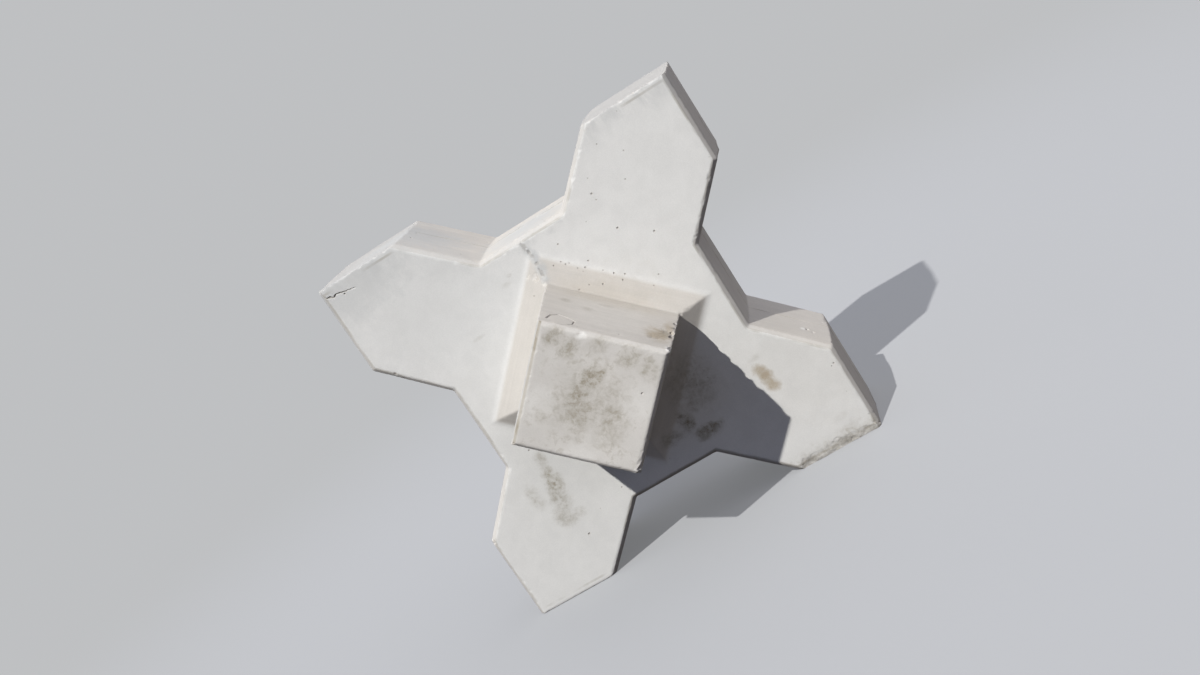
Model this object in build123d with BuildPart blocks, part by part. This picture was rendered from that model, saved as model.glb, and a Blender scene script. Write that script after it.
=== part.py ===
from build123d import *
import os
from math import atan2, radians, sqrt, tan

# A concrete armour unit for a breakwater, cast in one piece. Four legs make a
# thick cross that stands upright on two of its legs, and a square nose tapers
# out of each of its two broad faces. Lengths are in millimetres, angles in
# degrees. +Z is up, the noses point along Y, and the origin lies on the ground
# midway between the two feet.

# The four-legged body, measured on the joint of the two mould halves
body_span = 2360.0
body_thickness = 740.0
leg_end_width = 560.0
notch_floor_width = 540.0
notch_depth = 338.0

# The mould halves are drawn apart from the joint, so every formed side leans in
mould_draft = 1.6
face_edge_chamfer = 24.0

# The noses, and the flares that they grow out of. A flare spreads until its
# corners leave this much flat land before the chamfers of the notches, and its
# rounded foot runs this far out over the broad face.
nose_span = 2200.0
nose_tip_width = 706.0
nose_root_width = 768.0
nose_tip_chamfer = 20.0
flare_height = 72.0
flare_corner_land = 80.8
flare_foot_run = 28.4

# A nose is a square turned so that its flat sides face the legs
nose_turn = 45.0

half_span = body_span / 2
half_thickness = body_thickness / 2
mouth_reach = half_span - leg_end_width
notch_floor_reach = half_span - notch_depth
flank_slope = (mouth_reach - notch_floor_width / 2) / notch_depth

# The mould runs on past the poured top and the ground by this much, so that
# both can be cut flat where the sides have leaned in
trim = half_thickness * tan(radians(mould_draft)) + face_edge_chamfer

# The flare, from the land that its corners leave, and the radius of its foot
flare_width = sqrt(2) * (notch_floor_reach - trim - flare_corner_land)
flare_reach = (flare_width - nose_root_width) / 2
flare_angle = atan2(flare_height, flare_reach)
flare_foot_radius = flare_foot_run / tan(flare_angle / 2)

# Upright planes: the mould joint through the middle, then the front face, the
# top of the flare and the tip of the nose, one after the other towards -Y
joint_plane = Plane(origin=(0, 0, half_span), x_dir=(1, 0, 0), z_dir=(0, -1, 0))
face_plane = joint_plane.offset(half_thickness)
root_plane = face_plane.offset(flare_height)
tip_plane = joint_plane.offset(nose_span / 2)


with BuildPart() as armour_unit:
    # The front half of the cross, drawn out of its mould half
    with BuildSketch(joint_plane):
        with BuildLine() as outline:
            quarter = Polyline(
                (0, notch_floor_reach),
                (notch_floor_width / 2, notch_floor_reach),
                (mouth_reach + flank_slope * trim, half_span + trim),
                (half_span, half_span + trim),
                (half_span, mouth_reach),
                (notch_floor_reach, notch_floor_width / 2),
                (notch_floor_reach, 0),
            )
            mirror(quarter, about=Plane.YZ)
            mirror(outline.line, about=Plane.XZ)
        make_face()
    extrude(amount=half_thickness, taper=mould_draft)

    # A chamfer along the formed edges of the broad face
    broad_face = armour_unit.faces().sort_by(Axis.Y)[0]
    chamfer(broad_face.edges(), length=face_edge_chamfer)

    # The poured top is struck off level and the feet take the flat of the
    # ground, so the edges there are sharp
    split(bisect_by=Plane.XY, keep=Keep.TOP)
    split(bisect_by=Plane.XY.offset(body_span), keep=Keep.BOTTOM)

    # The flare, with mitred corners, from the broad face to the root of the nose
    with BuildSketch(face_plane):
        Rectangle(flare_width, flare_width, rotation=nose_turn)
    with BuildSketch(root_plane):
        Rectangle(nose_root_width, nose_root_width, rotation=nose_turn)
    loft(ruled=True)

    # The four edges at the foot of the flare run out softly into the broad face
    face_edges = armour_unit.edges().filter_by_position(Axis.Y, -half_thickness, -half_thickness)
    flare_foot = face_edges.sort_by_distance(face_plane.origin)[:4]
    fillet(flare_foot, radius=flare_foot_radius)

    # The nose, tapering to its flat tip
    with BuildSketch(root_plane):
        Rectangle(nose_root_width, nose_root_width, rotation=nose_turn)
    with BuildSketch(tip_plane):
        Rectangle(nose_tip_width, nose_tip_width, rotation=nose_turn)
    loft(ruled=True)
    nose_tip = armour_unit.faces().sort_by(Axis.Y)[0]
    chamfer(nose_tip.edges(), length=nose_tip_chamfer)

    # The rear half is the same, joined to the front half in one pour
    mirror(about=Plane.XZ)

armour_unit.part.label = "armour_unit"

os.makedirs("parts", exist_ok=True)
export_step(armour_unit.part, "parts/armour_unit.step")

concrete_volume = armour_unit.part.volume / 1e9
print(f"concrete volume {concrete_volume:.3f} cubic metres")
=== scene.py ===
from math import radians

import bmesh
import bpy
import numpy as np
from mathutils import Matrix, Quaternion, Vector, kdtree


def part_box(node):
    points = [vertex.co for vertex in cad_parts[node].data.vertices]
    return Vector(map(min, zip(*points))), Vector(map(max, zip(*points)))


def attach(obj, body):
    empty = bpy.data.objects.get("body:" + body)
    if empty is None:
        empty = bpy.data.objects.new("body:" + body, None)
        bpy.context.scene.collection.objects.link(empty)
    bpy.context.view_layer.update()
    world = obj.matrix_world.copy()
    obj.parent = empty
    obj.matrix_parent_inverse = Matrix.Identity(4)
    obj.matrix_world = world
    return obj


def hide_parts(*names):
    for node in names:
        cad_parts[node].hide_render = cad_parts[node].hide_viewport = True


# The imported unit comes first, so that what follows can take its sizes
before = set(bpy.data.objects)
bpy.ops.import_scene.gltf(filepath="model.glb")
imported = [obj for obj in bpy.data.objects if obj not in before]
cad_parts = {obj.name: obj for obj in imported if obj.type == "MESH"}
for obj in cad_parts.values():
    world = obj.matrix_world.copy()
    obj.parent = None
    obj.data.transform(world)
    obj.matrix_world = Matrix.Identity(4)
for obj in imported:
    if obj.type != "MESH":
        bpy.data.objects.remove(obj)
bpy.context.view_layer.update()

bl_info = {
    "name": "Cast breakwater armour unit",
    "version": (1, 1, 0),
    "blender": (4, 5, 0),
    "location": "View3D > Sidebar > Armour unit",
    "description": "Finishes a cast concrete armour unit with worn arrises, spalls, pinholes and stains",
    "category": "Object",
}

# Lengths are in metres. The unit stands on its feet at z = 0, its noses point
# along Y, and the seam of the two mould halves lies in the plane y = 0.
unit_low, unit_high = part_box("armour_unit")
SPAN = unit_high.z
HALF_SPAN = SPAN / 2
TIP_Y = unit_low.y
FACE_Y = -0.37

# The outline of the broad face, from the middle of the cross
NOTCH_FLOOR = 0.842
NOTCH_HALF_WIDTH = 0.27
MOUTH = 0.62
FACE_RIM = 0.034

# The square tip of a nose, from its middle to its side
TIP_HALF_WIDTH = 0.353

# The flare with its cream tone ends at this distance from the seam
FLARE_END = 0.46

# The sides of a nose face halfway between X and Z, by this share of each
DIAGONAL = 0.7071

# Points this close to the bed or to a struck top belong to it
FLAT_BAND = 0.004


# Sizes and colours that a user would change


class UnitWear(bpy.types.PropertyGroup):
    grain: bpy.props.FloatProperty(
        name="Grain", description="Spacing of the points that carry the relief",
        default=0.006, min=0.003, max=0.03, unit="LENGTH")
    arris_passes: bpy.props.IntProperty(
        name="Arris wear", description="How often the arrises are rubbed down", default=2, min=0, max=40)
    crumble: bpy.props.FloatProperty(
        name="Crumble", description="How far the formed arrises have crumbled in small lumps",
        default=0.0032, min=0.0, unit="LENGTH")
    top_crumble: bpy.props.FloatProperty(
        name="Crumble of the struck rims", description="The same for the sharp rims of the struck tops",
        default=0.0115, min=0.0, unit="LENGTH")
    seam_height: bpy.props.FloatProperty(
        name="Seam height", description="Height of the mortar ridge at the joint of the mould halves",
        default=0.003, min=0.0, unit="LENGTH")
    seam_width: bpy.props.FloatProperty(
        name="Seam width", description="Width of that ridge", default=0.012, min=0.002, unit="LENGTH")
    trowel_depth: bpy.props.FloatProperty(
        name="Trowel marks", description="Depth of the hollows in the struck tops",
        default=0.006, min=0.0, unit="LENGTH")
    foot_loss: bpy.props.FloatProperty(
        name="Foot loss", description="Depth of the ragged break along the front of one foot",
        default=0.012, min=0.0, unit="LENGTH")
    spall_count: bpy.props.IntProperty(
        name="Spalls", description="Small breaks scattered along the arrises", default=130, min=0)
    pinhole_count: bpy.props.IntProperty(
        name="Pinholes", description="Air holes scattered over the formed faces", default=260, min=0)
    triangles: bpy.props.IntProperty(
        name="Triangles", description="Most triangles that the finished unit has", default=190000, min=20000)


class ConcreteTones(bpy.types.PropertyGroup):
    face: bpy.props.FloatVectorProperty(
        name="Broad face", description="Smooth formed concrete of the broad faces", subtype="COLOR",
        default=(0.640, 0.632, 0.604), min=0, max=1)
    face_grey: bpy.props.FloatVectorProperty(
        name="Face clouds", description="Slightly darker clouds in the broad faces", subtype="COLOR",
        default=(0.560, 0.552, 0.528), min=0, max=1)
    tip: bpy.props.FloatVectorProperty(
        name="Nose tip", description="Duller concrete of the flat nose tips", subtype="COLOR",
        default=(0.560, 0.537, 0.498), min=0, max=1)
    side: bpy.props.FloatVectorProperty(
        name="Formed side", description="Cream concrete of the sides between the faces", subtype="COLOR",
        default=(0.535, 0.504, 0.455), min=0, max=1)
    side_grey: bpy.props.FloatVectorProperty(
        name="Grey side", description="Greyer streaks on the formed sides", subtype="COLOR",
        default=(0.478, 0.452, 0.412), min=0, max=1)
    top: bpy.props.FloatVectorProperty(
        name="Struck top", description="Floated concrete of the poured top", subtype="COLOR",
        default=(0.415, 0.404, 0.382), min=0, max=1)
    tan: bpy.props.FloatVectorProperty(
        name="Tan stain", description="Sandy stain", subtype="COLOR",
        default=(0.378, 0.322, 0.244), min=0, max=1)
    # This brown also paints the shade where the nose's shadow falls on the broad face
    stain: bpy.props.FloatVectorProperty(
        name="Brown stain", description="Brown grey dirt", subtype="COLOR",
        default=(0.238, 0.206, 0.145), min=0, max=1)
    # This grey also paints shade on the upper left side of each nose
    damp_and_shade: bpy.props.FloatVectorProperty(
        name="Damp patch", description="Cool grey patches in the broad faces", subtype="COLOR",
        default=(0.430, 0.434, 0.424), min=0, max=1)
    pale: bpy.props.FloatVectorProperty(
        name="Pale chip", description="Fresh white chips and lime", subtype="COLOR",
        default=(0.730, 0.715, 0.675), min=0, max=1)
    fresh: bpy.props.FloatVectorProperty(
        name="Fresh break", description="Mortar where the skin has broken off", subtype="COLOR",
        default=(0.600, 0.575, 0.530), min=0, max=1)
    stone: bpy.props.FloatVectorProperty(
        name="Broken stone", description="Stones that show in a break", subtype="COLOR",
        default=(0.430, 0.395, 0.345), min=0, max=1)
    # Painted shade inside the pinholes and cracks
    hollow_shade: bpy.props.FloatVectorProperty(
        name="Hollow", description="Inside of pinholes and cracks", subtype="COLOR",
        default=(0.260, 0.240, 0.212), min=0, max=1)


class StudioSettings(bpy.types.PropertyGroup):
    lens: bpy.props.FloatProperty(
        name="Lens", description="Focal length of the camera in millimetres", default=42.8, min=10, max=200)
    floor_radius: bpy.props.FloatProperty(
        name="Floor radius", description="Radius of the floor", default=45.0, min=5.0, unit="LENGTH")
    floor_tone: bpy.props.FloatVectorProperty(
        name="Floor", description="Colour of the floor and the background", subtype="COLOR",
        default=(0.520, 0.528, 0.540), min=0, max=1)
    key_strength: bpy.props.FloatProperty(
        name="Key light", description="Strength of the main light", default=4.35, min=0.0)
    key_angle: bpy.props.FloatProperty(
        name="Key softness", description="How wide the main light looks from the unit",
        default=radians(0.8), min=0.0, subtype="ANGLE")
    top_strength: bpy.props.FloatProperty(
        name="Top light", description="Strength of the soft light from above and the right",
        default=0.75, min=0.0)
    back_strength: bpy.props.FloatProperty(
        name="Back light", description="Strength of the soft light from behind", default=1.0, min=0.0)
    fill_strength: bpy.props.FloatProperty(
        name="Fill light", description="Strength of the light from all round", default=0.37, min=0.0)


# The surface as arrays of points, and the ways to work on it

# The noise repeats after this many cells
LATTICE = 48

# Nearer points are merged, flatter edges dissolved and sharper ones taken as arrises
SAME_POINT = 1e-5
FLAT_ANGLE = radians(0.3)
ARRIS_ANGLE = radians(20)


def soft_noise(points, cell, seed):
    """Smooth noise from -1 to 1 at the points, in lumps about one cell wide."""
    table = np.random.default_rng(seed).uniform(-1, 1, (LATTICE,) * 3)
    place = points / cell
    low = np.floor(place).astype(int)
    t = place - low
    t = t * t * (3 - 2 * t)
    total = np.zeros(len(points))
    for corner in np.ndindex(2, 2, 2):
        share = np.prod(np.where(corner, t, 1 - t), axis=1)
        i, j, k = ((low + corner) % LATTICE).T
        total += share * table[i, j, k]
    return total


def ramp(value, start, end):
    """Rises smoothly from 0 at start to 1 at end."""
    t = np.clip((value - start) / (end - start), 0, 1)
    return t * t * (3 - 2 * t)


def array_of(items, name, width):
    """One value or vector of each item as rows of an array."""
    flat = np.empty(len(items) * width, np.float32)
    items.foreach_get(name, flat)
    return flat.reshape(-1, width).astype(float)


def edge_ends(mesh):
    """The two point numbers of each edge as rows of an array."""
    ends = np.empty(len(mesh.edges) * 2, int)
    mesh.edges.foreach_get("vertices", ends)
    return ends.reshape(-1, 2)


def tree_of(points):
    """A search tree over the points."""
    tree = kdtree.KDTree(len(points))
    for index, point in enumerate(points.tolist()):
        tree.insert(point, index)
    tree.balance()
    return tree


def near_points(tree, place, reach):
    """Numbers of the points within reach of a place."""
    return np.array([found[1] for found in tree.find_range(place, reach)], int)


def along_path(points, path):
    """For each point, its distance to a path of straight runs, and how far along the path it lies."""
    best = np.full(len(points), np.inf)
    travel = np.zeros(len(points))
    passed = 0.0
    for start, end in zip(path[:-1], path[1:]):
        start, end = np.array(start), np.array(end)
        run = end - start
        length = np.linalg.norm(run)
        share = np.clip((points - start) @ run / length**2, 0, 1)
        gap = np.linalg.norm(points - start - share[:, None] * run, axis=1)
        closer = gap < best
        best[closer] = gap[closer]
        travel[closer] = passed + share[closer] * length
        passed += length
    return best, travel


class Skin:
    """The surface of the unit as arrays, with marks for what is broken and for the painted shade in its pits
    and cracks.
    """

    def __init__(self, mesh):
        self.mesh = mesh
        self.points = array_of(mesh.vertices, "co", 3)
        self.normals = array_of(mesh.vertices, "normal", 3)
        self.broken = np.zeros(len(self.points))
        self.hollow_shade = np.zeros(len(self.points))
        self.tree = tree_of(self.points)

    def store(self):
        """Writes the moved points and the marks to the mesh."""
        self.mesh.vertices.foreach_set("co", self.points.astype(np.float32).ravel())
        for name, values in (("broken", self.broken), ("hollow_shade", self.hollow_shade)):
            mark = self.mesh.attributes.new(name, "FLOAT", "POINT")
            mark.data.foreach_set("value", values.astype(np.float32))
        self.mesh.update()


def merged_copy(node):
    """A bmesh of the node's faces, with its loose triangles joined into flat faces."""
    form = bmesh.new()
    form.from_mesh(node.data)
    bmesh.ops.remove_doubles(form, verts=form.verts, dist=SAME_POINT)
    bmesh.ops.dissolve_limit(form, angle_limit=FLAT_ANGLE, verts=form.verts, edges=form.edges)
    return form


def arrises_of(form):
    """The outer edges of the unit: start, end and the way out between the two faces."""
    found = []
    for edge in form.edges:
        if edge.calc_face_angle_signed(0) > ARRIS_ANGLE:
            start, end = (np.array(corner.co) for corner in edge.verts)
            outward = (edge.link_faces[0].normal + edge.link_faces[1].normal).normalized()
            found.append((start, end, np.array(outward)))
    return found


def modified(mesh, kind, **settings):
    """A copy of the mesh with a modifier of that kind applied to it."""
    carrier = bpy.data.objects.new("unit_blank", mesh)
    bpy.context.scene.collection.objects.link(carrier)
    modifier = carrier.modifiers.new("change", kind)
    for name, value in settings.items():
        setattr(modifier, name, value)
    depsgraph = bpy.context.evaluated_depsgraph_get()
    made = bpy.data.meshes.new_from_object(carrier.evaluated_get(depsgraph))
    bpy.data.objects.remove(carrier)
    return made


def refine(mesh, chosen):
    """Halves the spacing of the mesh between the chosen points."""
    picked = chosen[edge_ends(mesh)].all(axis=1)
    form = bmesh.new()
    form.from_mesh(mesh)
    form.edges.ensure_lookup_table()
    edges = [form.edges[number] for number in np.flatnonzero(picked)]
    bmesh.ops.subdivide_edges(form, edges=edges, cuts=1, use_grid_fill=True)
    form.to_mesh(mesh)
    form.free()


# Breaks at the places that the photograph shows, each as (place, way out, width, depth)
CORNER_BREAKS = (
    ((1.18, -0.365, 1.80), (0.75, -0.45, -0.45), 0.075, 0.020),
    ((1.15, -0.375, 1.765), (0.40, -0.70, -0.55), 0.045, 0.010),
    ((-1.18, -0.365, 0.545), (-0.70, -0.50, 0.50), 0.085, 0.024),
    ((-1.18, -0.360, 2.315), (-0.90, -0.40, 0.10), 0.060, 0.016),
    ((-1.165, -0.365, 2.36), (-0.45, -0.45, 0.75), 0.070, 0.018),
    ((-0.60, -0.365, 2.36), (0.35, -0.55, 0.75), 0.060, 0.016),
    ((0.0, -1.10, 0.69), (0.0, -0.60, -0.80), 0.090, 0.022),
    ((0.03, -1.10, 0.715), (0.35, -0.60, -0.70), 0.060, 0.014),
    ((-0.49, -1.10, 1.18), (-0.80, -0.60, 0.0), 0.050, 0.013),
    ((0.49, -1.10, 1.18), (0.80, -0.60, 0.0), 0.050, 0.014),
    ((0.150, -1.10, 1.490), (0.20, -0.96, 0.20), 0.060, 0.004),
    ((0.0, -1.10, 1.67), (0.0, -0.70, 0.70), 0.035, 0.008),
)

# The nose arris at +X is torn: a shallow scar on the upper side, notches in the
# arris beside it and a chip at the corner of the tip
NOSE_TEAR = (
    ((0.452, -0.91, 1.243), (0.70, -0.10, 0.70), 0.125, 0.006),
    ((0.478, -0.80, 1.222), (0.75, -0.05, 0.65), 0.090, 0.006),
    ((0.512, -0.80, 1.186), (0.95, -0.05, 0.30), 0.065, 0.016),
    ((0.508, -0.87, 1.184), (0.95, -0.05, 0.25), 0.060, 0.013),
    ((0.517, -0.71, 1.184), (0.95, -0.05, 0.25), 0.050, 0.010),
    ((0.520, -0.63, 1.184), (0.95, -0.05, 0.25), 0.040, 0.007),
    ((0.497, -1.05, 1.180), (0.90, -0.35, 0.25), 0.055, 0.012),
)

# Worn skin beside the mitre of the flare
MITRE_WEAR = (
    ((-0.045, -0.400, 1.783), (-0.25, -0.90, 0.25), 0.050, 0.005),
    ((-0.085, -0.380, 1.800), (-0.20, -0.95, 0.20), 0.040, 0.004),
    ((0.012, -0.425, 1.765), (0.10, -0.90, 0.43), 0.060, 0.006),
    ((-0.020, -0.432, 1.735), (-0.10, -0.90, 0.40), 0.050, 0.006),
)

# The paths of the cracks, each from its open end
CORNER_CRACK = (
    (-1.190, -0.37, 2.330), (-1.164, -0.37, 2.322), (-1.147, -0.37, 2.308), (-1.121, -0.37, 2.295),
    (-1.100, -0.37, 2.286), (-1.081, -0.37, 2.294), (-1.039, -0.37, 2.286), (-1.002, -0.37, 2.277),
    (-0.960, -0.37, 2.272),
)
MITRE_CRACK = (
    (-0.006, -0.370, 1.975), (-0.006, -0.370, 1.945), (0.001, -0.374, 1.908), (0.008, -0.388, 1.852),
    (0.009, -0.405, 1.808), (0.004, -0.420, 1.771),
)
NOSE_HAIRLINE = (
    (0.030, -1.021, 1.655), (0.045, -0.955, 1.645), (0.069, -0.928, 1.622), (0.102, -0.945, 1.588),
    (0.134, -0.979, 1.553), (0.130, -1.030, 1.555), (0.107, -1.060, 1.575), (0.070, -1.070, 1.610),
    (0.044, -1.055, 1.638),
)

# The cracks, each as (path, width, depth, how broken its rims are)
CRACKS = (
    (CORNER_CRACK, 0.0100, 0.009, 0.2),
    (MITRE_CRACK, 0.0280, 0.003, 1.0),
    (NOSE_HAIRLINE, 0.0110, 0.0045, 0.0),
)

# Pinholes on the front, by the flare and on the leg above it, as (place, radius)
FRONT_PINHOLES = (
    ((0.082, -0.387, 1.780), 0.0050), ((0.125, -0.372, 1.775), 0.0045), ((0.140, -0.376, 1.750), 0.0045),
    ((0.188, -0.379, 1.695), 0.0040), ((0.224, -0.372, 1.676), 0.0055), ((0.258, -0.370, 1.699), 0.0050),
    ((0.344, -0.370, 1.563), 0.0050), ((0.394, -0.370, 1.526), 0.0050), ((0.368, -0.382, 1.505), 0.0060),
    ((0.265, -0.406, 1.548), 0.0060), ((0.198, -0.417, 1.587), 0.0045), ((0.139, -0.437, 1.596), 0.0050),
    ((0.499, -0.378, 1.385), 0.0045), ((0.553, -0.370, 1.425), 0.0050), ((0.480, -0.370, 2.009), 0.0060),
    ((0.484, -0.370, 1.967), 0.0040), ((0.499, -0.370, 1.770), 0.0065), ((0.664, -0.370, 1.647), 0.0060),
    ((0.653, -0.370, 2.226), 0.0040), ((0.759, -0.370, 2.118), 0.0040), ((0.682, -0.370, 1.979), 0.0040),
    ((0.508, -0.370, 2.093), 0.0035), ((1.080, -0.161, 0.657), 0.0140), ((1.104, -0.190, 0.636), 0.0100),
    ((0.252, -1.100, 1.063), 0.0070), ((1.122, -0.370, 0.468), 0.0055), ((1.105, -0.370, 0.459), 0.0040),
    ((0.160, -0.372, 1.745), 0.0035), ((0.205, -0.385, 1.665), 0.0030), ((0.300, -0.372, 1.610), 0.0035),
)

# The foot of the leg at +X has crumbled along its front arris, between these ends
# and up to this height
FOOT_START = 0.60
FOOT_END = 1.17
FOOT_BAND = 0.062

# How far from an arris its wear and its crumbling reach
WEAR_REACH = 0.03
CRUMBLE_REACH = 0.016

# The smallest scattered pinholes and spalls, and how much larger the largest are.
# The spalls beside the front face are smaller, by the last share.
HOLE_RADIUS = 0.0025
HOLE_SPREAD = 0.0045
SPALL_WIDTH = 0.014
SPALL_SPREAD = 0.045
FRONT_SPALLS = 0.55

# Where the random draws of each kind of wear start
ARRIS_SEED = 3
SEAM_SEED = 11
TOP_SEED = 21
HOLE_SEED = 31
PINHOLE_SEED = 41
SPALL_SEED = 67
FOOT_SEED = 71
CRACK_SEED = 81
BREAK_SEED = 300


def wear_arrises(skin, arrises, passes, crumble, top_crumble):
    """Rubs the arrises down unevenly and crumbles them in small lumps."""
    gap = np.full(len(skin.points), np.inf)
    lean = np.zeros((len(skin.points), 3))
    for start, end, outward in arrises:
        low = np.minimum(start, end) - WEAR_REACH
        high = np.maximum(start, end) + WEAR_REACH
        inside = np.flatnonzero(((skin.points > low) & (skin.points < high)).all(axis=1))
        distance, _ = along_path(skin.points[inside], (start, end))
        closer = distance < gap[inside]
        gap[inside[closer]] = distance[closer]
        lean[inside[closer]] = outward

    # Each pass moves the points near an arris towards the middle of their neighbours
    is_near = gap < WEAR_REACH
    near = np.flatnonzero(is_near)
    ends = edge_ends(skin.mesh)
    ends = ends[is_near[ends].any(axis=1)]
    count = len(skin.points)
    degree = np.bincount(ends.ravel(), minlength=count)[near]
    strength = 0.50 + 0.45 * soft_noise(skin.points[near], 0.16, ARRIS_SEED)
    strength = np.clip(strength, 0.08, 0.9) * ramp(-gap[near], -WEAR_REACH, -0.006)
    for _ in range(passes):
        for axis in range(3):
            column = skin.points[:, axis]
            total = np.bincount(ends[:, 0], weights=column[ends[:, 1]], minlength=count)
            total += np.bincount(ends[:, 1], weights=column[ends[:, 0]], minlength=count)
            column[near] += strength * (total[near] / degree - column[near])

    close = np.flatnonzero(gap < CRUMBLE_REACH)
    points = skin.points[close]
    lumps = soft_noise(points, 0.022, ARRIS_SEED + 2) + 0.6 * soft_noise(points, 0.010, ARRIS_SEED + 3)
    patches = ramp(soft_noise(points, 0.25, ARRIS_SEED + 4), -0.3, 0.6)
    softness = np.where(points[:, 2] > SPAN - 0.02, top_crumble, crumble)
    fade = ramp(-gap[close], -CRUMBLE_REACH, -0.003)
    depth = softness * (0.35 + patches) * np.clip(lumps, 0, 1) * fade
    skin.points[close] -= lean[close] * depth[:, None]


def scoop(skin, place, outward, width, depth, seed):
    """Breaks a rough pit of that width and depth out of the surface."""
    place, outward = np.array(place), np.array(outward, float)
    outward /= np.linalg.norm(outward)
    radius = (width**2 / 4 + depth**2) / (2 * depth)
    centre = place + outward * (radius - depth)
    reach = width * 0.8
    near = near_points(skin.tree, place, reach)
    if not len(near):
        return
    points = skin.points[near]
    rough = 0.5 * soft_noise(points, width * 0.4, seed) + 0.25 * soft_noise(points, 0.012, seed + 1)
    uneven = radius + depth * rough
    offset = points - centre
    along = offset @ outward
    inside = along**2 - (offset**2).sum(axis=1) + uneven**2
    cut = np.where(inside > 0, along + np.sqrt(np.maximum(inside, 0)), 0)
    away = np.linalg.norm(points - place, axis=1)
    cut = np.clip(cut, 0, 2.5 * depth) * ramp(-away, -reach, -width * 0.62)
    skin.points[near] -= outward * cut[:, None]
    skin.broken[near] = np.maximum(skin.broken[near], ramp(cut, 0.0005, 0.003))


def raise_seam(skin, height, width):
    """Leaves a ridge of mortar on the formed sides where the mould halves met."""
    y = skin.points[:, 1]
    on_side = (np.abs(y) < width) & (np.abs(skin.normals[:, 1]) < 0.3)
    on_side &= (skin.points[:, 2] > FLAT_BAND) & (skin.points[:, 2] < SPAN - FLAT_BAND)
    band = np.flatnonzero(on_side)
    points = skin.points[band]
    wander = 0.0012 * soft_noise(points, 0.09, SEAM_SEED)
    profile = ramp(-np.abs(y[band] - wander), -width / 2, 0)
    worn = 0.55 + 0.45 * soft_noise(points, 0.06, SEAM_SEED + 1)
    worn += 0.2 * soft_noise(points, 0.015, SEAM_SEED + 2)
    rise = height * np.clip(worn, 0.05, 1.2) * profile
    skin.points[band] += skin.normals[band] * rise[:, None]


def strike_tops(skin, depth):
    """Leaves the struck tops uneven, with trowel hollows."""
    top = np.flatnonzero((skin.points[:, 2] > SPAN - FLAT_BAND) & (skin.normals[:, 2] > 0.7))
    points = skin.points[top]
    drawn = points * (0.35, 1.0, 1.0)
    hollows = 0.6 * soft_noise(points, 0.16, TOP_SEED) + 0.5 * soft_noise(drawn, 0.045, TOP_SEED + 1)
    hollows += 0.25 * soft_noise(points, 0.014, TOP_SEED + 2)
    skin.points[top, 2] -= depth * np.clip(0.55 + 0.5 * hollows, 0, 1.4)


def open_crack(skin, path, width, depth, ragged, seed):
    """Opens a crack that fades out towards the far end of its path."""
    middle = np.mean(path, axis=0)
    reach = max(np.linalg.norm(np.array(point) - middle) for point in path) + 0.02
    near = near_points(skin.tree, middle, reach)
    points = skin.points[near]
    wobble = 0.0035 * soft_noise(points, 0.012, seed)[:, None] * np.array((1, 0, 1))
    gap, travel = along_path(points + wobble, path)
    length = travel.max()
    left = 1 - 0.7 * (1 - ragged) * ramp(travel, 0.45 * length, length)
    pits = 1 - ragged * ramp(soft_noise(points, 0.016, seed + 50), -0.35, 0.35)
    hole = ramp(-gap, -width * 0.5 * (0.5 + left), 0) * left * pits
    skin.points[near] -= skin.normals[near] * (depth * hole)[:, None]
    # Marks the inside of the crack for painted shade
    skin.hollow_shade[near] = np.maximum(skin.hollow_shade[near], (1 - 0.5 * ragged) * ramp(hole, 0.15, 0.6))


def sink_pinhole(skin, place, radius):
    """Sinks one air hole with steep walls."""
    near = near_points(skin.tree, place, radius * 1.5)
    if not len(near):
        return
    points = skin.points[near]
    normal = skin.normals[near].mean(axis=0)
    normal /= np.linalg.norm(normal)
    offset = points - np.array(place)
    flat = offset - np.outer(offset @ normal, normal)
    shape = np.linalg.norm(flat, axis=1) / radius
    shape *= 1 + 0.18 * soft_noise(points, radius * 0.9, HOLE_SEED)
    bowl = np.sqrt(np.clip(1 - shape**2, 0, 1))
    skin.points[near] -= normal * (0.7 * radius * bowl)[:, None]
    # Marks the inside of the hole for painted shade
    skin.hollow_shade[near] = np.maximum(skin.hollow_shade[near], 0.75 * ramp(bowl, 0.1, 0.6))


def scattered_pinholes(points, normals, count, seed):
    """Picks places for air holes on the formed faces, most of them on the sides."""
    rng = np.random.default_rng(seed)
    sideways = np.abs(normals[:, 1]) < 0.6
    formed = (points[:, 2] > 0.03) & (points[:, 2] < SPAN - 0.02)
    share = np.where(sideways, 1.0, 0.12) * formed
    share *= 0.2 + ramp(soft_noise(points, 0.35, seed), -0.2, 0.8)
    chosen = rng.choice(len(points), count, replace=False, p=share / share.sum())
    radii = HOLE_RADIUS + HOLE_SPREAD * rng.random(count) ** 2.2
    return [(tuple(points[number]), radius) for number, radius in zip(chosen.tolist(), radii.tolist())]


def scattered_spalls(arrises, count, seed):
    """Picks small breaks along the arrises, more of them on the longer ones."""
    rng = np.random.default_rng(seed)
    lengths = np.array([np.linalg.norm(end - start) for start, end, _ in arrises])
    spalls = []
    for _ in range(count):
        start, end, outward = arrises[rng.choice(len(arrises), p=lengths / lengths.sum())]
        place = start + (end - start) * rng.random()
        share = FRONT_SPALLS if place[1] < -0.3 else 1.0
        width = (SPALL_WIDTH + SPALL_SPREAD * rng.random() ** 2.5) * share
        depth = width * rng.uniform(0.10, 0.2)
        spalls.append((place, outward + rng.normal(0, 0.15, 3), width, depth))
    return spalls


def foot_points(points):
    """Marks the points round the front arris of the crumbled foot."""
    x, y, z = points.T
    return (x > FOOT_START - 0.03) & (y < FACE_Y + 0.05) & (z < 2 * FOOT_BAND)


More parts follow.
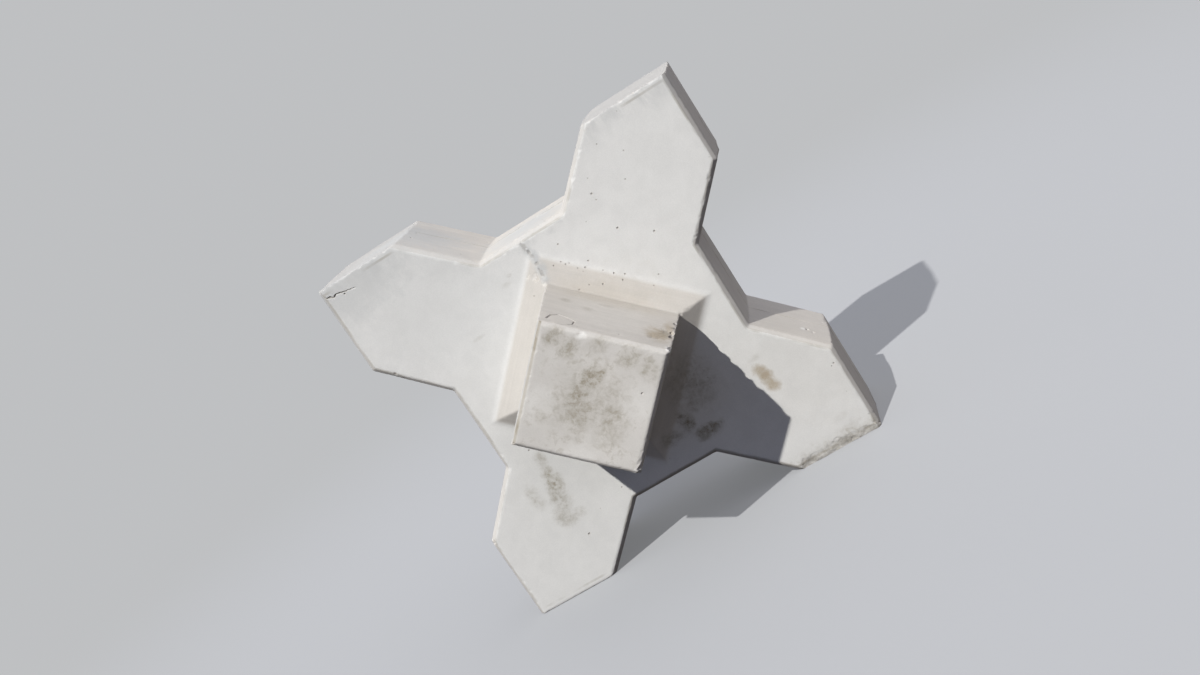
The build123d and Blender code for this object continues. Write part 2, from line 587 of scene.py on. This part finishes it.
def crumble_foot(skin, loss):
    """Breaks the front arris of one foot back in ragged ledges."""
    band = np.flatnonzero(foot_points(skin.points))
    points = skin.points[band]
    x, y, z = points.T
    ends = ramp(x, FOOT_START, FOOT_START + 0.08) * (0.45 + 0.55 * ramp(-x, -FOOT_END, -FOOT_END + 0.10))
    level = points * (1, 0, 1)
    drawn = level * (0.3, 1, 1)
    rim = 0.98 + 0.28 * soft_noise(level, 0.09, FOOT_SEED) + 0.12 * soft_noise(level, 0.018, FOOT_SEED + 1)
    rim *= FOOT_BAND * ends
    below = np.clip((rim - z) / FOOT_BAND, 0, 1)
    ledges = 0.6 * soft_noise(drawn, 0.014, FOOT_SEED + 2) + 0.8 * soft_noise(level, 0.008, FOOT_SEED + 3)
    lost = loss * (0.10 * ramp(below, 0, 0.35) + 0.90 * below**1.3)
    lost += 0.08 * loss * ledges * ramp(below, 0, 0.25)
    lost *= 1 + 0.30 * soft_noise(level, 0.06, FOOT_SEED + 4)
    wall = FACE_Y + np.maximum(lost, 0)
    cut = np.maximum(wall - y, 0)
    skin.points[band, 1] += cut
    skin.broken[band] = np.maximum(skin.broken[band], 0.55 * ramp(cut, 0.0008, 0.006))


def thinned(mesh, triangles):
    """A copy of the mesh with at most that many triangles, the flat parts thinned first."""
    mesh.calc_loop_triangles()
    return modified(mesh, "DECIMATE", ratio=min(1.0, triangles / len(mesh.loop_triangles)))


def points_to_refine(points, pinholes, breaks, margin):
    """Marks the points near the pinholes, the cracks and the breaks."""
    tree = tree_of(points)
    fine = np.zeros(len(points), bool)
    for place, radius in pinholes:
        fine[near_points(tree, place, radius + margin)] = True
    for path, width, *_ in CRACKS:
        gap, _ = along_path(points, path)
        fine |= gap < width + margin
    for place, _, width, _ in breaks:
        fine[near_points(tree, place, 0.6 * width)] = True
    return fine


def cast_unit_mesh(wear):
    """The mesh of the unit with its wear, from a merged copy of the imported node."""
    form = merged_copy(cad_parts["armour_unit"])
    arrises = arrises_of(form)
    plain = bpy.data.meshes.new("unit_plain")
    form.to_mesh(plain)
    form.free()
    mesh = modified(plain, "REMESH", mode="VOXEL", voxel_size=wear.grain)

    points = array_of(mesh.vertices, "co", 3)
    normals = array_of(mesh.vertices, "normal", 3)
    pinholes = [*FRONT_PINHOLES, *scattered_pinholes(points, normals, wear.pinhole_count, PINHOLE_SEED)]
    spalls = scattered_spalls(arrises, wear.spall_count, SPALL_SEED)
    breaks = [*CORNER_BREAKS, *NOSE_TEAR, *MITRE_WEAR, *spalls]

    # Closer points, once round all fine marks and once more in the finest
    fine = points_to_refine(points, pinholes, breaks, 1.5 * wear.grain)
    fine |= np.abs(points[:, 1]) < wear.seam_width / 2 + wear.grain
    fine |= foot_points(points)
    refine(mesh, fine)
    points = array_of(mesh.vertices, "co", 3)
    refine(mesh, points_to_refine(points, pinholes, (), 0.75 * wear.grain))

    skin = Skin(mesh)
    wear_arrises(skin, arrises, wear.arris_passes, wear.crumble, wear.top_crumble)
    strike_tops(skin, wear.trowel_depth)
    raise_seam(skin, wear.seam_height, wear.seam_width)
    for number, (place, outward, width, depth) in enumerate(breaks):
        scoop(skin, place, outward, width, depth, BREAK_SEED + 2 * number)
    crumble_foot(skin, wear.foot_loss)
    for number, (path, width, depth, ragged) in enumerate(CRACKS):
        open_crack(skin, path, width, depth, ragged, CRACK_SEED + number)
    for place, radius in pinholes:
        sink_pinhole(skin, place, radius)
    skin.points[:, 2] = np.maximum(skin.points[:, 2], 0)
    skin.store()
    return thinned(mesh, wear.triangles)


# Materials


class Nodes:
    """A short way to write a node tree."""

    def __init__(self, tree):
        self.tree = tree
        tree.nodes.clear()

    def add(self, kind, inputs=(), **settings):
        """A node of that kind, with settings, and inputs given as values or sockets."""
        node = self.tree.nodes.new(kind)
        for name, value in settings.items():
            setattr(node, name, value)
        for name, value in dict(inputs).items():
            if isinstance(value, bpy.types.NodeSocket):
                self.tree.links.new(value, node.inputs[name])
            else:
                node.inputs[name].default_value = value
        return node

    def math(self, operation, first, second=0.0):
        return self.add("ShaderNodeMath", {0: first, 1: second}, operation=operation).outputs[0]

    def vector(self, operation, first, second):
        return self.add("ShaderNodeVectorMath", {0: first, 1: second}, operation=operation).outputs[0]

    def length(self, vector):
        return self.add("ShaderNodeVectorMath", {0: vector}, operation="LENGTH").outputs["Value"]

    def product(self, first, *others):
        """All the values multiplied together."""
        for other in others:
            first = self.math("MULTIPLY", first, other)
        return first

    def ramp(self, value, low, high, start=0.0, end=1.0):
        """Goes smoothly from start to end while the value goes from low to high."""
        inputs = {"Value": value, "From Min": low, "From Max": high, "To Min": start, "To Max": end}
        return self.add("ShaderNodeMapRange", inputs, interpolation_type="SMOOTHSTEP").outputs["Result"]

    def band(self, value, middle, half_width):
        """1 where the value is at the middle, falling to 0 at half a width from it."""
        off = self.math("ABSOLUTE", self.math("SUBTRACT", value, middle))
        return self.ramp(off, half_width * 0.3, half_width, 1.0, 0.0)

    def stretched(self, vector, scale):
        return self.add("ShaderNodeMapping", {"Vector": vector, "Scale": scale}).outputs[0]

    def noise(self, vector, scale, detail=4.0, roughness=0.5, distortion=0.0, output="Fac"):
        names = ("Vector", "Scale", "Detail", "Roughness", "Distortion")
        inputs = zip(names, (vector, scale, detail, roughness, distortion))
        return self.add("ShaderNodeTexNoise", inputs).outputs[output]

    def mix(self, factor, first, second, blend="MIX"):
        """The first colour with the second laid over it by the factor."""
        node = self.tree.nodes.new("ShaderNodeMix")
        node.data_type = "RGBA"
        node.blend_type = blend
        for socket, value in ((node.inputs[0], factor), (node.inputs[6], first), (node.inputs[7], second)):
            if isinstance(value, bpy.types.NodeSocket):
                self.tree.links.new(value, socket)
            elif isinstance(value, (int, float)):
                socket.default_value = value
            else:
                socket.default_value = (*value, 1.0)
        return node.outputs[2]


def spot(nodes, position, raggedness, centre, size):
    """1 inside and 0 outside of an ellipsoid with those half sizes and a ragged rim."""
    scaled = nodes.vector("DIVIDE", nodes.vector("SUBTRACT", position, centre), size)
    pushed = nodes.vector("ADD", scaled, raggedness)
    return nodes.ramp(nodes.length(pushed), 0.25, 1.1, 1.0, 0.0)


# How ragged the rims of the stains are, as a share of a stain's size
RAGGEDNESS = 1.35

# Stains at the places that the photograph shows, as (centre, half sizes, strength)
# The brown table also holds painted shade where the nose's shadow falls on the broad face
BROWN_STAINS_AND_SHADE = (
    ((-0.02, -1.10, 1.18), (0.30, 0.10, 0.26), 0.42),
    ((0.07, -1.10, 1.27), (0.12, 0.08, 0.08), 0.92),
    ((-0.02, -1.10, 1.23), (0.13, 0.08, 0.09), 0.85),
    ((-0.07, -1.10, 1.13), (0.15, 0.08, 0.11), 0.66),
    ((-0.16, -1.10, 1.19), (0.08, 0.08, 0.09), 0.52),
    ((0.05, -1.10, 1.05), (0.11, 0.08, 0.09), 0.60),
    ((-0.03, -1.10, 0.95), (0.15, 0.08, 0.09), 0.40),
    ((-0.272, -1.10, 1.235), (0.050, 0.08, 0.060), 0.70),
    ((0.02, -1.10, 1.565), (0.09, 0.08, 0.06), 0.70),
    ((0.06, -1.10, 1.475), (0.08, 0.08, 0.07), 0.72),
    ((0.19, -1.10, 1.405), (0.09, 0.08, 0.06), 0.50),
    ((0.30, -1.10, 1.26), (0.10, 0.08, 0.08), 0.52),
    ((0.35, -1.10, 1.16), (0.08, 0.08, 0.10), 0.46),
    ((-0.625, -0.37, 0.84), (0.045, 0.08, 0.075), 0.52),
    ((-0.635, -0.37, 0.70), (0.070, 0.08, 0.110), 0.88),
    ((-0.665, -0.37, 0.58), (0.080, 0.08, 0.110), 0.66),
    ((-0.700, -0.37, 0.47), (0.095, 0.08, 0.085), 0.50),
    ((-0.610, -0.37, 0.45), (0.055, 0.08, 0.040), 0.45),
    ((-0.785, -0.37, 0.66), (0.055, 0.08, 0.110), 0.42),
    ((0.180, -0.727, 1.526), (0.055, 0.05, 0.055), 0.45),
    ((0.092, -0.655, 1.618), (0.050, 0.04, 0.050), 0.40),
    ((0.250, -0.593, 1.465), (0.060, 0.03, 0.060), 0.30),
    ((0.475, -0.84, 1.215), (0.060, 0.09, 0.060), 0.60),
    # The next three are partly dirt and partly painted shade, in the place where the nose's shadow falls
    ((0.225, -0.38, 0.60), (0.060, 0.08, 0.095), 1.00),
    ((0.310, -0.37, 0.49), (0.110, 0.08, 0.060), 0.95),
    ((0.110, -0.39, 0.56), (0.110, 0.09, 0.060), 0.70),
    ((0.760, -0.37, 0.725), (0.045, 0.08, 0.020), 0.25),
    ((-0.215, -0.37, 1.825), (0.040, 0.08, 0.020), 0.30),
    ((-0.170, -0.37, 1.865), (0.025, 0.08, 0.015), 0.30),
    ((-0.523, -0.37, 1.647), (0.050, 0.08, 0.016), 0.25),
    ((1.000, -0.37, 0.170), (0.060, 0.08, 0.030), 0.14),
    # The next two darken the broad face towards the ground along the foot
    ((0.980, -0.37, 0.000), (0.380, 0.08, 0.125), 0.55),
    ((0.700, -0.37, 0.000), (0.200, 0.08, 0.110), 0.50),
    # Partly dirt and partly painted shade, over the place where the nose's shadow falls
    ((0.38, -0.40, 0.78), (0.20, 0.12, 0.24), 0.55),
)
TAN_STAINS = (
    ((0.748, -0.37, 0.645), (0.052, 0.08, 0.064), 0.90),
    ((0.758, -0.37, 0.595), (0.052, 0.08, 0.064), 1.00),
    ((0.768, -0.37, 0.540), (0.052, 0.08, 0.064), 0.95),
    ((0.455, -0.87, 1.240), (0.085, 0.15, 0.085), 1.00),
    ((0.495, -0.74, 1.205), (0.045, 0.15, 0.045), 0.75),
    ((0.30, -0.48, 1.48), (0.46, 0.12, 0.36), 0.25),
    ((0.95, -0.37, 0.50), (0.55, 0.30, 0.50), 0.08),
)
PALE_PATCHES = (
    ((0.150, -1.10, 1.492), (0.042, 0.06, 0.024), 1.00),
    ((0.000, -1.09, 0.700), (0.070, 0.05, 0.030), 1.00),
    ((0.492, -1.06, 1.185), (0.030, 0.04, 0.030), 0.90),
    ((-0.495, -1.10, 1.172), (0.020, 0.04, 0.030), 0.70),
    ((1.062, -0.165, 0.676), (0.022, 0.03, 0.022), 0.80),
    ((0.30, -0.77, 1.46), (0.34, 0.36, 0.34), 0.20),
    ((-0.24, -1.10, 1.30), (0.13, 0.08, 0.13), 0.34),
    ((0.22, -1.10, 1.02), (0.13, 0.08, 0.13), 0.32),
    ((-0.20, -1.10, 0.95), (0.17, 0.08, 0.10), 0.34),
)
DAMP_PATCHES = (
    ((-0.95, -0.37, 2.30), (0.60, 0.12, 0.30), 0.55),
    ((-0.65, -0.37, 1.95), (0.65, 0.12, 0.45), 0.22),
    ((-0.45, -0.30, 2.15), (0.32, 0.20, 0.28), 0.40),
    ((-0.65, -0.05, 2.25), (0.50, 0.33, 0.30), 0.85),
    ((0.00, -0.10, 2.00), (0.40, 0.36, 0.10), 0.85),
    ((-0.40, -0.37, 0.80), (0.45, 0.12, 0.35), 0.25),
    ((-0.003, -0.38, 1.93), (0.034, 0.05, 0.060), 0.80),
    ((0.012, -0.38, 1.87), (0.042, 0.05, 0.060), 0.95),
    ((0.010, -0.40, 1.80), (0.044, 0.05, 0.060), 0.95),
    ((0.003, -0.42, 1.75), (0.034, 0.05, 0.045), 0.75),
)


def distance_to_rim(nodes, x, z):
    """How far a place on the broad face lies inside the outline of the cross."""
    across = nodes.math("ABSOLUTE", x)
    rise = nodes.math("ABSOLUTE", nodes.math("SUBTRACT", z, HALF_SPAN))
    longer = nodes.math("MAXIMUM", across, rise)
    shorter = nodes.math("MINIMUM", across, rise)
    run = Vector((HALF_SPAN - NOTCH_FLOOR, MOUTH - NOTCH_HALF_WIDTH)).normalized()
    from_end = nodes.math("SUBTRACT", HALF_SPAN, longer)
    from_floor = nodes.math("SUBTRACT", NOTCH_FLOOR, longer)
    sideways = nodes.product(nodes.math("SUBTRACT", shorter, NOTCH_HALF_WIDTH), run.x)
    from_flank = nodes.math("ADD", sideways, nodes.product(from_floor, run.y))
    return nodes.math("MINIMUM", from_end, nodes.math("MAXIMUM", from_flank, from_floor))


def on_tip_rim(nodes, depth, across):
    """1 on the chamfer of the tip and a little way into the tip."""
    return nodes.product(nodes.ramp(depth, -TIP_Y - 0.025, -TIP_Y - 0.015), nodes.ramp(across, 0.35, 0.60))


def with_stains(nodes, colour, position, tones, mottle, blots):
    """The colour with the stains at their places, with ragged rims; some brown ones are painted shade where
    the nose's shadow falls.
    """
    shift = nodes.noise(position, 15.0, 6.0, 0.70, output="Color")
    ragged = nodes.vector("MULTIPLY", nodes.vector("SUBTRACT", shift, (0.5,) * 3), (RAGGEDNESS,) * 3)
    speckle = nodes.ramp(nodes.noise(position, 58.0, 5.0, 0.7, 0.3), 0.38, 0.62, 0.62, 1.0)
    for stains, tone, texture in (
        (DAMP_PATCHES, tones.damp_and_shade, nodes.ramp(mottle, 0.3, 0.7, 0.8, 1.0)),
        (TAN_STAINS, tones.tan, nodes.ramp(blots, 0.3, 0.6, 0.8, 1.0)),
        (BROWN_STAINS_AND_SHADE, tones.stain, nodes.product(nodes.ramp(blots, 0.36, 0.60, 0.42, 1.0), speckle)),
        (PALE_PATCHES, tones.pale, nodes.ramp(blots, 0.3, 0.6, 0.7, 1.0)),
    ):
        stained = 0.0
        for centre, size, strength in stains:
            here = nodes.product(spot(nodes, position, ragged, centre, size), strength)
            stained = nodes.math("MAXIMUM", here, stained)
        colour = nodes.mix(nodes.product(stained, texture), colour, tone)
    return colour


def concrete(tones):
    """Pale formed concrete: cloudy faces, streaked cream sides, stains, breaks and hollows, with painted
    shade in the hollows, where the nose's shadow falls and on one side of each nose.
    """
    material = bpy.data.materials.new("cast_concrete")
    material.use_nodes = True
    nodes = Nodes(material.node_tree)
    coordinates = nodes.add("ShaderNodeTexCoord")
    position = coordinates.outputs["Object"]
    xyz = nodes.add("ShaderNodeSeparateXYZ", {0: position}).outputs
    facing = nodes.add("ShaderNodeSeparateXYZ", {0: coordinates.outputs["Normal"]}).outputs
    broken = nodes.add("ShaderNodeAttribute", attribute_name="broken").outputs["Fac"]
    # The mark for the painted shade inside pinholes and cracks
    hollow_shade = nodes.add("ShaderNodeAttribute", attribute_name="hollow_shade").outputs["Fac"]
    across = nodes.math("ABSOLUTE", facing["Y"])
    depth = nodes.math("ABSOLUTE", xyz["Y"])

    # Where the surface is: broad face, formed side, nose tip or struck top
    on_side = nodes.ramp(across, 0.45, 0.62, 1.0, 0.0)
    off_face = nodes.ramp(depth, -FACE_Y + 0.0005, -FACE_Y + 0.012)
    on_flare = nodes.product(off_face, nodes.ramp(depth, FLARE_END + 0.01, FLARE_END - 0.01))
    on_side = nodes.math("MAXIMUM", on_side, on_flare)
    on_tip = nodes.product(nodes.ramp(depth, -TIP_Y - 0.04, -TIP_Y - 0.01), nodes.ramp(across, 0.60, 0.90))
    on_top = nodes.product(nodes.ramp(xyz["Z"], SPAN - 0.04, SPAN - 0.015), nodes.ramp(facing["Z"], 0.7, 0.9))
    off_top = nodes.math("SUBTRACT", 1.0, on_top)
    on_nose = nodes.ramp(depth, -FACE_Y + 0.05, -FACE_Y + 0.09)
    towards_left = nodes.math("SUBTRACT", facing["Z"], facing["X"])
    # The side of each nose that faces the key light, which is painted darker as shade
    key_side_shade = nodes.product(nodes.ramp(towards_left, 1.0, 1.3), on_nose)

    # Clouds, mottling and the streaks that run along the mould boards
    clouds = nodes.noise(position, 1.7, 5.0, 0.55, 0.6)
    mottle = nodes.noise(position, 9.0, 7.0, 0.62, 0.4)
    blots = nodes.noise(position, 26.0, 5.0, 0.60, 0.5)
    grain = nodes.noise(position, 130.0, 5.0, 0.65)
    streaks = nodes.noise(nodes.stretched(position, (0.8, 16.0, 0.8)), 1.0, 6.0, 0.6, 0.25)
    lines = nodes.noise(nodes.stretched(position, (2.0, 85.0, 2.0)), 1.0, 4.0, 0.5, 0.1)

    face = nodes.mix(nodes.ramp(clouds, 0.35, 0.65, 0.0, 0.45), tones.face, tones.face_grey)
    side = nodes.mix(nodes.ramp(streaks, 0.30, 0.70, 0.0, 0.55), tones.side, tones.side_grey)
    side = nodes.mix(nodes.ramp(mottle, 0.45, 0.75, 0.0, 0.35), side, tones.side_grey)
    side = nodes.mix(nodes.product(on_flare, 0.65), side, tones.side_grey)
    colour = nodes.mix(on_side, face, side)
    colour = nodes.mix(on_top, colour, tones.top)

    # The chamfers have lost their smooth skin and are duller than the faces
    on_chamfer = nodes.product(nodes.ramp(across, 0.35, 0.55), nodes.ramp(across, 0.87, 0.80), 0.75)
    colour = nodes.mix(on_chamfer, colour, tones.side_grey)

    # Painted shade: the upper left side of each nose, which faces the key light, is painted greyer than its
    # other sides
    colour = nodes.mix(nodes.product(key_side_shade, 0.75), colour, tones.damp_and_shade)

    # The tip is duller and mottled all over, with dirt held in its skin
    colour = nodes.mix(on_tip, colour, tones.tip)
    freckles = nodes.product(nodes.ramp(blots, 0.50, 0.66, 0.0, 0.32), nodes.ramp(mottle, 0.40, 0.62), on_tip)
    colour = nodes.mix(freckles, colour, tones.stain)

    # Breaks show lighter mortar with darker stones
    stones = nodes.add("ShaderNodeTexVoronoi", {"Vector": position, "Scale": 75.0}, feature="F1")
    stone_pick = nodes.add("ShaderNodeSeparateColor", {0: stones.outputs["Color"]}).outputs[0]
    break_tone = nodes.mix(nodes.ramp(stone_pick, 0.55, 0.75, 0.0, 0.7), tones.fresh, tones.stone)
    colour = nodes.mix(nodes.product(broken, 0.8), colour, break_tone)

    colour = with_stains(nodes, colour, position, tones, mottle, blots)

    # A thin line of dirt where the broad face and the tip meet their chamfers
    patchy = nodes.ramp(nodes.noise(position, 5.0, 5.0, 0.6), 0.38, 0.62)
    rim = distance_to_rim(nodes, xyz["X"], xyz["Z"])
    on_face = nodes.product(nodes.ramp(across, 0.55, 0.80), nodes.ramp(depth, 0.40, 0.38))
    face_line = nodes.product(nodes.band(rim, FACE_RIM, 0.010), patchy, on_face, 0.40)
    rise = nodes.math("SUBTRACT", xyz["Z"], HALF_SPAN)
    leftward = nodes.product(nodes.math("SUBTRACT", rise, xyz["X"]), DIAGONAL)
    left_line = nodes.band(leftward, TIP_HALF_WIDTH - 0.013, 0.012)
    left_line = nodes.product(left_line, on_tip_rim(nodes, depth, across))
    left_line = nodes.product(left_line, nodes.ramp(patchy, 0.0, 1.0, 0.6, 1.0), 0.80)
    colour = nodes.mix(nodes.math("MAXIMUM", face_line, left_line), colour, tones.stain)

    # The face is greyer in the first hand's width below a struck top
    drips = nodes.noise(nodes.stretched(position, (13.0, 13.0, 5.0)), 1.0, 6.0, 0.65, 0.4)
    below_top = nodes.ramp(xyz["Z"], SPAN - 0.20, SPAN - 0.03)
    dripped = nodes.product(below_top, nodes.ramp(drips, 0.38, 0.68), off_top, 0.45)
    colour = nodes.mix(dripped, colour, tones.damp_and_shade)

    # The seam holds dirt along its foot, but was trowelled away on the struck tops
    seam = nodes.ramp(depth, 0.002, 0.009, 1.0, 0.0)
    held = nodes.ramp(nodes.noise(position, 7.0), 0.35, 0.6, 0.05, 0.45)
    colour = nodes.mix(nodes.product(seam, held, on_side, off_top), colour, tones.stain)

    # Pinholes and cracks are painted dark: painted shade inside the hollows
    colour = nodes.mix(nodes.product(hollow_shade, 0.8), colour, tones.hollow_shade)

    # Light and dark from the clouds, the mottling, the lines and the grain
    shade = nodes.ramp(clouds, 0.3, 0.7, 0.965, 1.03)
    shade = nodes.product(shade, nodes.ramp(mottle, 0.3, 0.7, 0.97, 1.025))
    line_shade = nodes.ramp(lines, 0.3, 0.7, 0.972, 1.022)
    line_shade = nodes.add("ShaderNodeMix", {0: on_side, 2: 1.0, 3: line_shade}, data_type="FLOAT").outputs[0]
    shade = nodes.product(shade, line_shade, nodes.ramp(grain, 0.25, 0.75, 0.96, 1.04))
    grey = nodes.add("ShaderNodeCombineColor", {0: shade, 1: shade, 2: shade}).outputs[0]
    colour = nodes.mix(1.0, colour, grey, "MULTIPLY")

    # Fine relief
    height = nodes.product(grain, 0.35)
    height = nodes.math("ADD", height, nodes.product(nodes.noise(position, 45.0, 4.0, 0.6), 0.5))
    rough_height = nodes.product(nodes.noise(position, 160.0, 5.0, 0.7), broken, 2.5)
    height = nodes.math("ADD", height, rough_height)
    bump = nodes.add("ShaderNodeBump", {"Height": height, "Strength": 0.55, "Distance": 0.0018}).outputs[0]
    roughness = nodes.ramp(mottle, 0.3, 0.7, 0.78, 0.92)

    inputs = {"Base Color": colour, "Roughness": roughness, "Normal": bump, "Specular IOR Level": 0.3}
    shader = nodes.add("ShaderNodeBsdfPrincipled", inputs)
    nodes.add("ShaderNodeOutputMaterial", {"Surface": shader.outputs[0]})
    return material


# The floor throws this dark tone back up. The camera sees its pale tone, one share lit
# and one share glowing, which fades into the background between two distances.
BOUNCED_TONE = (0.048, 0.040, 0.031)
LIT_SHARE = 0.50
GLOW_SHARE = 0.30
FADE_START = 3.0
FADE_END = 11.0


def floor_material(tone):
    """A pale floor that fades into the background and throws little light back up."""
    material = bpy.data.materials.new("studio_floor")
    material.use_nodes = True
    nodes = Nodes(material.node_tree)
    position = nodes.add("ShaderNodeTexCoord").outputs["Object"]
    seen = nodes.add("ShaderNodeLightPath").outputs["Is Camera Ray"]
    lit_tone = nodes.mix(seen, BOUNCED_TONE, tuple(LIT_SHARE * part for part in tone))
    lit = nodes.add("ShaderNodeBsdfDiffuse", {"Color": lit_tone}).outputs[0]
    glow_strength = nodes.product(seen, GLOW_SHARE)
    glow = nodes.add("ShaderNodeEmission", {"Color": (*tone, 1.0), "Strength": glow_strength})
    near = nodes.add("ShaderNodeAddShader", {0: lit, 1: glow.outputs[0]}).outputs[0]
    far = nodes.add("ShaderNodeEmission", {"Color": (*tone, 1.0), "Strength": 1.0}).outputs[0]
    fade = nodes.product(nodes.ramp(nodes.length(position), FADE_START, FADE_END), seen)
    both = nodes.add("ShaderNodeMixShader", {0: fade, 1: near, 2: far}).outputs[0]
    nodes.add("ShaderNodeOutputMaterial", {"Surface": both})
    return material


# The camera looks at the unit from the photograph's angle. The unit leans in the
# picture, so the camera is rolled by the same angle.
CAMERA_PLACE = (1.724, -8.173, 2.852)
CAMERA_TARGET = (-0.006, 0.005, 1.212)
CAMERA_ROLL = radians(-33.25)

# Where each lamp shines from, seen from the unit, and the colours of the light
KEY_FROM = (-0.225, -0.618, 0.753)
TOP_FROM = (0.66, 0.02, 0.75)
BACK_FROM = (0.10, 0.93, 0.35)
SOFT_ANGLE = radians(75)
KEY_COLOUR = (1.0, 0.99, 0.965)
TOP_COLOUR = (1.0, 0.92, 0.82)
BACK_COLOUR = (1.0, 1.0, 1.0)
FILL_COLOUR = (0.60, 0.69, 1.0)

# Edges of the finished unit sharper than this stay sharp in the shading
SHARP_ANGLE = radians(32)


# Operators


class ARMOUR_OT_cast_unit(bpy.types.Operator):
    """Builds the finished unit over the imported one, with its wear and its concrete"""

    bl_idname = "armour.cast_unit"
    bl_label = "Cast unit"

    def execute(self, context):
        mesh = cast_unit_mesh(context.scene.armour_wear)
        mesh.name = "cast_unit"
        mesh.shade_smooth()
        mesh.set_sharp_from_angle(angle=SHARP_ANGLE)
        mesh.materials.append(concrete(context.scene.concrete_tones))
        unit = bpy.data.objects.new("cast_unit", mesh)
        context.scene.collection.objects.link(unit)
        weighted = unit.modifiers.new("flat faces stay flat", "WEIGHTED_NORMAL")
        weighted.keep_sharp = True
        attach(unit, "root")
        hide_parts("armour_unit")
        return {"FINISHED"}


def add_lamp(context, name, shines_from, strength, angle, colour):
    """A far lamp whose light comes from that way."""
    lamp = bpy.data.lights.new(name, "SUN")
    lamp.energy = strength
    lamp.angle = angle
    lamp.color = colour
    holder = bpy.data.objects.new(name, lamp)
    holder.rotation_euler = Vector(shines_from).to_track_quat("Z", "Y").to_euler()
    context.scene.collection.objects.link(holder)


class ARMOUR_OT_studio(bpy.types.Operator):
    """Sets up the floor, the lights, the background and the camera"""

    bl_idname = "armour.studio"
    bl_label = "Studio"

    def execute(self, context):
        studio = context.scene.armour_studio
        form = bmesh.new()
        bmesh.ops.create_circle(form, cap_ends=True, segments=96, radius=studio.floor_radius)
        mesh = bpy.data.meshes.new("floor")
        form.to_mesh(mesh)
        form.free()
        mesh.materials.append(floor_material(studio.floor_tone))
        floor = bpy.data.objects.new("floor", mesh)
        context.scene.collection.objects.link(floor)

        add_lamp(context, "key", KEY_FROM, studio.key_strength, studio.key_angle, KEY_COLOUR)
        add_lamp(context, "top", TOP_FROM, studio.top_strength, SOFT_ANGLE, TOP_COLOUR)
        add_lamp(context, "back", BACK_FROM, studio.back_strength, SOFT_ANGLE, BACK_COLOUR)

        world = bpy.data.worlds.new("studio")
        world.use_nodes = True
        nodes = Nodes(world.node_tree)
        path = nodes.add("ShaderNodeLightPath").outputs
        seen = nodes.math("MAXIMUM", path["Is Camera Ray"], path["Is Glossy Ray"])
        seen = nodes.math("MAXIMUM", seen, path["Is Transmission Ray"])
        strength = nodes.ramp(path["Is Camera Ray"], 0.0, 1.0, studio.fill_strength, 1.0)
        colour = nodes.mix(seen, FILL_COLOUR, studio.floor_tone)
        background = nodes.add("ShaderNodeBackground", {"Color": colour, "Strength": strength})
        nodes.add("ShaderNodeOutputWorld", {"Surface": background.outputs[0]})
        context.scene.world = world
        context.scene.view_settings.view_transform = "Standard"

        camera = bpy.data.cameras.new("camera")
        camera.lens = studio.lens
        camera_object = bpy.data.objects.new("camera", camera)
        aim = Vector(CAMERA_TARGET) - Vector(CAMERA_PLACE)
        turned = aim.to_track_quat("-Z", "Y") @ Quaternion((0, 0, 1), CAMERA_ROLL)
        camera_object.location = CAMERA_PLACE
        camera_object.rotation_euler = turned.to_euler()
        context.scene.collection.objects.link(camera_object)
        context.scene.camera = camera_object
        return {"FINISHED"}


class ARMOUR_PT_panel(bpy.types.Panel):
    bl_idname = "ARMOUR_PT_panel"
    bl_label = "Armour unit"
    bl_space_type = "VIEW_3D"
    bl_region_type = "UI"
    bl_category = "Armour unit"

    def draw(self, context):
        for group in ("armour_wear", "concrete_tones", "armour_studio"):
            settings = getattr(context.scene, group)
            for name in settings.__annotations__:
                self.layout.prop(settings, name)
        self.layout.operator(ARMOUR_OT_cast_unit.bl_idname)
        self.layout.operator(ARMOUR_OT_studio.bl_idname)


CLASSES = (UnitWear, ConcreteTones, StudioSettings, ARMOUR_OT_cast_unit, ARMOUR_OT_studio, ARMOUR_PT_panel)


def register():
    for item in CLASSES:
        bpy.utils.register_class(item)
    bpy.types.Scene.armour_wear = bpy.props.PointerProperty(type=UnitWear)
    bpy.types.Scene.concrete_tones = bpy.props.PointerProperty(type=ConcreteTones)
    bpy.types.Scene.armour_studio = bpy.props.PointerProperty(type=StudioSettings)


def unregister():
    del bpy.types.Scene.armour_studio
    del bpy.types.Scene.concrete_tones
    del bpy.types.Scene.armour_wear
    for item in reversed(CLASSES):
        bpy.utils.unregister_class(item)


def main():
    register()
    bpy.ops.armour.cast_unit()
    bpy.ops.armour.studio()


if __name__ == "__main__":
    main()
